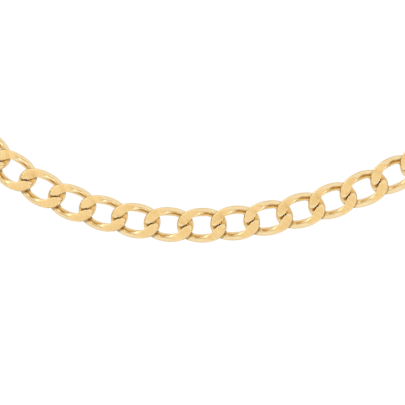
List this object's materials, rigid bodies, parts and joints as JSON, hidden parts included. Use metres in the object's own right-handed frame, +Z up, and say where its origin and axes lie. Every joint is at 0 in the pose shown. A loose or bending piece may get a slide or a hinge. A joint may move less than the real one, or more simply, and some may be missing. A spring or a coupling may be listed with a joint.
{
  "type": "chain necklace",
  "caption": "Flat curb-chain necklace of twisted, filed oval links lying open, with a lobster clasp on a jump ring and a plain catch ring.",
  "frame": {"origin": "on the table, below the middle of the outline of the necklace as it lies", "axes": "+Z up from the table; +X to the right along the front of the chain; +Y from the front link to the clasp end"},
  "size_m": [0.179, 0.1563, 0.0059],
  "materials": {
    "chain_gold": "polished wire with satin filed facets",
    "ring_gold": "polished round wire",
    "clasp_gold": "polished casting",
    "lever_gold": "polished sheet",
    "pin_gold": "polished pin head",
    "spring_steel": "plain spring strip"
  },
  "bodies": {
    "front_link": {"front_link": "chain_gold"},
    "left_link_01": {"left_link_01": "chain_gold"},
    "left_link_02": {"left_link_02": "chain_gold"},
    "left_link_03": {"left_link_03": "chain_gold"},
    "left_link_04": {"left_link_04": "chain_gold"},
    "left_link_05": {"left_link_05": "chain_gold"},
    "left_link_06": {"left_link_06": "chain_gold"},
    "left_link_07": {"left_link_07": "chain_gold"},
    "left_link_08": {"left_link_08": "chain_gold"},
    "left_link_09": {"left_link_09": "chain_gold"},
    "left_link_10": {"left_link_10": "chain_gold"},
    "left_link_11": {"left_link_11": "chain_gold"},
    "left_link_12": {"left_link_12": "chain_gold"},
    "left_link_13": {"left_link_13": "chain_gold"},
    "left_link_14": {"left_link_14": "chain_gold"},
    "left_link_15": {"left_link_15": "chain_gold"},
    "left_link_16": {"left_link_16": "chain_gold"},
    "left_link_17": {"left_link_17": "chain_gold"},
    "left_link_18": {"left_link_18": "chain_gold"},
    "left_link_19": {"left_link_19": "chain_gold"},
    "left_link_20": {"left_link_20": "chain_gold"},
    "left_link_21": {"left_link_21": "chain_gold"},
    "left_link_22": {"left_link_22": "chain_gold"},
    "left_link_23": {"left_link_23": "chain_gold"},
    "left_link_24": {"left_link_24": "chain_gold"},
    "left_link_25": {"left_link_25": "chain_gold"},
    "right_link_01": {"right_link_01": "chain_gold"},
    "right_link_02": {"right_link_02": "chain_gold"},
    "right_link_03": {"right_link_03": "chain_gold"},
    "right_link_04": {"right_link_04": "chain_gold"},
    "right_link_05": {"right_link_05": "chain_gold"},
    "right_link_06": {"right_link_06": "chain_gold"},
    "right_link_07": {"right_link_07": "chain_gold"},
    "right_link_08": {"right_link_08": "chain_gold"},
    "right_link_09": {"right_link_09": "chain_gold"},
    "right_link_10": {"right_link_10": "chain_gold"},
    "right_link_11": {"right_link_11": "chain_gold"},
    "right_link_12": {"right_link_12": "chain_gold"},
    "right_link_13": {"right_link_13": "chain_gold"},
    "right_link_14": {"right_link_14": "chain_gold"},
    "right_link_15": {"right_link_15": "chain_gold"},
    "right_link_16": {"right_link_16": "chain_gold"},
    "right_link_17": {"right_link_17": "chain_gold"},
    "right_link_18": {"right_link_18": "chain_gold"},
    "right_link_19": {"right_link_19": "chain_gold"},
    "right_link_20": {"right_link_20": "chain_gold"},
    "right_link_21": {"right_link_21": "chain_gold"},
    "right_link_22": {"right_link_22": "chain_gold"},
    "right_link_23": {"right_link_23": "chain_gold"},
    "right_link_24": {"right_link_24": "chain_gold"},
    "right_link_25": {"right_link_25": "chain_gold"},
    "jump_ring": {"jump_ring": "ring_gold"},
    "clasp_body": {"clasp_body": "clasp_gold", "clasp_pin": "pin_gold", "clasp_spring": "spring_steel"},
    "clasp_lever": {"clasp_lever": "lever_gold"},
    "catch_ring": {"catch_ring": "ring_gold"}
  },
  "joints": [
    {"name": "jump_ring_swing", "type": "hinge", "parent": "left_link_25", "child": "jump_ring", "pos_m": [-0.03703, 0.07081, 0.0016], "axis": [-0.2577, 0.6175, -0.7431], "range_deg": [-40, 45]},
    {"name": "catch_ring_swing", "type": "hinge", "parent": "right_link_25", "child": "catch_ring", "pos_m": [0.04249, 0.0593, 0.0016], "axis": [-0.2272, -0.6294, -0.7431], "range_deg": [-60, 45]},
    {"name": "clasp_swing", "type": "hinge", "parent": "jump_ring", "child": "clasp_body", "pos_m": [-0.03399, 0.07134, 0.002], "axis": [0.1433, 0.6484, 0.7477], "range_deg": [-15, 60]},
    {"name": "lever_press", "type": "hinge", "parent": "clasp_body", "child": "clasp_lever", "pos_m": [-0.02873, 0.07401, 0.002], "axis": [0, 0, 1], "range_deg": [-26, 0], "stiffness_Nm_per_rad": 0.01},
    {"name": "left_swing_01", "type": "hinge", "parent": "front_link", "child": "left_link_01", "pos_m": [-0.01416, -0.07401, 0.0016], "axis": [0, 0, 1], "range_deg": [-14.7, 25.3]},
    {"name": "left_fold_02", "type": "hinge", "parent": "left_link_01", "child": "left_link_02", "pos_m": [-0.02234, -0.07345, 0.0016], "axis": [0.1175, 0.9931, 0], "range_deg": [-18, 18]},
    {"name": "left_swing_03", "type": "hinge", "parent": "left_link_02", "child": "left_link_03", "pos_m": [-0.03042, -0.07208, 0.0016], "axis": [0, 0, -1], "range_deg": [-26.1, 13.9]},
    {"name": "left_fold_04", "type": "hinge", "parent": "left_link_03", "child": "left_link_04", "pos_m": [-0.03832, -0.06987, 0.0016], "axis": [-0.3235, -0.9462, 0], "range_deg": [-18, 18]},
    {"name": "left_swing_05", "type": "hinge", "parent": "left_link_04", "child": "left_link_05", "pos_m": [-0.04592, -0.06679, 0.0016], "axis": [0, 0, 1], "range_deg": [-13.3, 26.7]},
    {"name": "left_fold_06", "type": "hinge", "parent": "left_link_05", "child": "left_link_06", "pos_m": [-0.0531, -0.06284, 0.0016], "axis": [0.5328, 0.8462, 0], "range_deg": [-18, 18]},
    {"name": "left_swing_07", "type": "hinge", "parent": "left_link_06", "child": "left_link_07", "pos_m": [-0.05977, -0.05806, 0.0016], "axis": [0, 0, -1], "range_deg": [-27, 13]},
    {"name": "left_fold_08", "type": "hinge", "parent": "left_link_07", "child": "left_link_08", "pos_m": [-0.0658, -0.05251, 0.0016], "axis": [-0.7207, -0.6932, 0], "range_deg": [-18, 18]},
    {"name": "left_swing_09", "type": "hinge", "parent": "left_link_08", "child": "left_link_09", "pos_m": [-0.07112, -0.04627, 0.0016], "axis": [0, 0, 1], "range_deg": [-13.1, 26.9]},
    {"name": "left_fold_10", "type": "hinge", "parent": "left_link_09", "child": "left_link_10", "pos_m": [-0.07564, -0.03942, 0.0016], "axis": [0.8656, 0.5007, 0], "range_deg": [-18, 18]},
    {"name": "left_swing_11", "type": "hinge", "parent": "left_link_10", "child": "left_link_11", "pos_m": [-0.07931, -0.03209, 0.0016], "axis": [0, 0, -1], "range_deg": [-26.6, 13.4]},
    {"name": "left_fold_12", "type": "hinge", "parent": "left_link_11", "child": "left_link_12", "pos_m": [-0.08212, -0.02439, 0.0016], "axis": [-0.9571, -0.2896, 0], "range_deg": [-18, 18]},
    {"name": "left_swing_13", "type": "hinge", "parent": "left_link_12", "child": "left_link_13", "pos_m": [-0.08406, -0.01642, 0.0016], "axis": [0, 0, 1], "range_deg": [-13.8, 26.2]},
    {"name": "left_fold_14", "type": "hinge", "parent": "left_link_13", "child": "left_link_14", "pos_m": [-0.08513, -0.00829, 0.0016], "axis": [0.9969, 0.0788, 0], "range_deg": [-18, 18]},
    {"name": "left_swing_15", "type": "hinge", "parent": "left_link_14", "child": "left_link_15", "pos_m": [-0.08535, -0.0001, 0.0016], "axis": [0, 0, -1], "range_deg": [-25.7, 14.3]},
    {"name": "left_fold_16", "type": "hinge", "parent": "left_link_15", "child": "left_link_16", "pos_m": [-0.08475, 0.00808, 0.0016], "axis": [-0.9925, 0.1219, 0], "range_deg": [-18, 18]},
    {"name": "left_swing_17", "type": "hinge", "parent": "left_link_16", "child": "left_link_17", "pos_m": [-0.08335, 0.01616, 0.0016], "axis": [0, 0, 1], "range_deg": [-14.4, 25.6]},
    {"name": "left_fold_18", "type": "hinge", "parent": "left_link_17", "child": "left_link_18", "pos_m": [-0.08118, 0.02407, 0.0016], "axis": [0.9501, -0.312, 0], "range_deg": [-18, 18]},
    {"name": "left_swing_19", "type": "hinge", "parent": "left_link_18", "child": "left_link_19", "pos_m": [-0.07824, 0.03173, 0.0016], "axis": [0, 0, -1], "range_deg": [-25.7, 14.3]},
    {"name": "left_fold_20", "type": "hinge", "parent": "left_link_19", "child": "left_link_20", "pos_m": [-0.07456, 0.03905, 0.0016], "axis": [-0.869, 0.4948, 0], "range_deg": [-18, 18]},
    {"name": "left_swing_21", "type": "hinge", "parent": "left_link_20", "child": "left_link_21", "pos_m": [-0.07014, 0.04596, 0.0016], "axis": [0, 0, 1], "range_deg": [-13.8, 26.2]},
    {"name": "left_fold_22", "type": "hinge", "parent": "left_link_21", "child": "left_link_22", "pos_m": [-0.06499, 0.05235, 0.0016], "axis": [0.7417, -0.6707, 0], "range_deg": [-18, 18]},
    {"name": "left_swing_23", "type": "hinge", "parent": "left_link_22", "child": "left_link_23", "pos_m": [-0.05915, 0.0581, 0.0016], "axis": [0, 0, -1], "range_deg": [-27, 13]},
    {"name": "left_fold_24", "type": "hinge", "parent": "left_link_23", "child": "left_link_24", "pos_m": [-0.05266, 0.06311, 0.0016], "axis": [-0.5583, 0.8296, 0], "range_deg": [-18, 18]},
    {"name": "left_swing_25", "type": "hinge", "parent": "left_link_24", "child": "left_link_25", "pos_m": [-0.04558, 0.06724, 0.0016], "axis": [0, 0, 1], "range_deg": [-12.4, 27.6]},
    {"name": "right_swing_01", "type": "hinge", "parent": "front_link", "child": "right_link_01", "pos_m": [-0.00596, -0.07381, 0.0016], "axis": [0, 0, 1], "range_deg": [-24.9, 15.1]},
    {"name": "right_fold_02", "type": "hinge", "parent": "right_link_01", "child": "right_link_02", "pos_m": [0.00219, -0.07291, 0.0016], "axis": [-0.1492, 0.9888, 0], "range_deg": [-18, 18]},
    {"name": "right_swing_03", "type": "hinge", "parent": "right_link_02", "child": "right_link_03", "pos_m": [0.01025, -0.07136, 0.0016], "axis": [0, 0, -1], "range_deg": [-15.8, 24.2]},
    {"name": "right_fold_04", "type": "hinge", "parent": "right_link_03", "child": "right_link_04", "pos_m": [0.01816, -0.06923, 0.0016], "axis": [0.2943, -0.9557, 0], "range_deg": [-18, 18]},
    {"name": "right_swing_05", "type": "hinge", "parent": "right_link_04", "child": "right_link_05", "pos_m": [0.02591, -0.06654, 0.0016], "axis": [0, 0, 1], "range_deg": [-23.9, 16.1]},
    {"name": "right_fold_06", "type": "hinge", "parent": "right_link_05", "child": "right_link_06", "pos_m": [0.03345, -0.06333, 0.0016], "axis": [-0.4225, 0.9064, 0], "range_deg": [-18, 18]},
    {"name": "right_swing_07", "type": "hinge", "parent": "right_link_06", "child": "right_link_07", "pos_m": [0.04077, -0.05961, 0.0016], "axis": [0, 0, -1], "range_deg": [-16, 24]},
    {"name": "right_fold_08", "type": "hinge", "parent": "right_link_07", "child": "right_link_08", "pos_m": [0.0478, -0.0554, 0.0016], "axis": [0.5455, -0.8381, 0], "range_deg": [-18, 18]},
    {"name": "right_swing_09", "type": "hinge", "parent": "right_link_08", "child": "right_link_09", "pos_m": [0.0545, -0.05067, 0.0016], "axis": [0, 0, 1], "range_deg": [-24.6, 15.4]},
    {"name": "right_fold_10", "type": "hinge", "parent": "right_link_09", "child": "right_link_10", "pos_m": [0.06081, -0.04543, 0.0016], "axis": [-0.672, 0.7405, 0], "range_deg": [-18, 18]},
    {"name": "right_swing_11", "type": "hinge", "parent": "right_link_10", "child": "right_link_11", "pos_m": [0.06663, -0.03966, 0.0016], "axis": [0, 0, -1], "range_deg": [-14.5, 25.5]},
    {"name": "right_fold_12", "type": "hinge", "parent": "right_link_11", "child": "right_link_12", "pos_m": [0.07189, -0.03336, 0.0016], "axis": [0.8005, -0.5994, 0], "range_deg": [-18, 18]},
    {"name": "right_swing_13", "type": "hinge", "parent": "right_link_12", "child": "right_link_13", "pos_m": [0.07645, -0.02655, 0.0016], "axis": [0, 0, 1], "range_deg": [-26.5, 13.5]},
    {"name": "right_fold_14", "type": "hinge", "parent": "right_link_13", "child": "right_link_14", "pos_m": [0.08021, -0.01926, 0.0016], "axis": [-0.9154, 0.4026, 0], "range_deg": [-18, 18]},
    {"name": "right_swing_15", "type": "hinge", "parent": "right_link_14", "child": "right_link_15", "pos_m": [0.08304, -0.01157, 0.0016], "axis": [0, 0, -1], "range_deg": [-12.4, 27.6]},
    {"name": "right_fold_16", "type": "hinge", "parent": "right_link_15", "child": "right_link_16", "pos_m": [0.08483, -0.00357, 0.0016], "axis": [0.9887, -0.15, 0], "range_deg": [-18, 18]},
    {"name": "right_swing_17", "type": "hinge", "parent": "right_link_16", "child": "right_link_17", "pos_m": [0.08549, 0.00461, 0.0016], "axis": [0, 0, 1], "range_deg": [-28.3, 11.7]},
    {"name": "right_fold_18", "type": "hinge", "parent": "right_link_17", "child": "right_link_18", "pos_m": [0.08496, 0.01279, 0.0016], "axis": [-0.9903, -0.1391, 0], "range_deg": [-18, 18]},
    {"name": "right_swing_19", "type": "hinge", "parent": "right_link_18", "child": "right_link_19", "pos_m": [0.08322, 0.0208, 0.0016], "axis": [0, 0, -1], "range_deg": [-11.3, 28.7]},
    {"name": "right_fold_20", "type": "hinge", "parent": "right_link_19", "child": "right_link_20", "pos_m": [0.08028, 0.02846, 0.0016], "axis": [0.9039, 0.4278, 0], "range_deg": [-18, 18]},
    {"name": "right_swing_21", "type": "hinge", "parent": "right_link_20", "child": "right_link_21", "pos_m": [0.07622, 0.03558, 0.0016], "axis": [0, 0, 1], "range_deg": [-28.6, 11.4]},
    {"name": "right_fold_22", "type": "hinge", "parent": "right_link_21", "child": "right_link_22", "pos_m": [0.07114, 0.04202, 0.0016], "axis": [-0.7376, -0.6752, 0], "range_deg": [-18, 18]},
    {"name": "right_swing_23", "type": "hinge", "parent": "right_link_22", "child": "right_link_23", "pos_m": [0.06518, 0.04765, 0.0016], "axis": [0, 0, -1], "range_deg": [-11.9, 28.1]},
    {"name": "right_fold_24", "type": "hinge", "parent": "right_link_23", "child": "right_link_24", "pos_m": [0.05848, 0.05238, 0.0016], "axis": [0.52, 0.8541, 0], "range_deg": [-18, 18]},
    {"name": "right_swing_25", "type": "hinge", "parent": "right_link_24", "child": "right_link_25", "pos_m": [0.0512, 0.05616, 0.0016], "axis": [0, 0, 1], "range_deg": [-27.6, 12.4]}
  ]
}
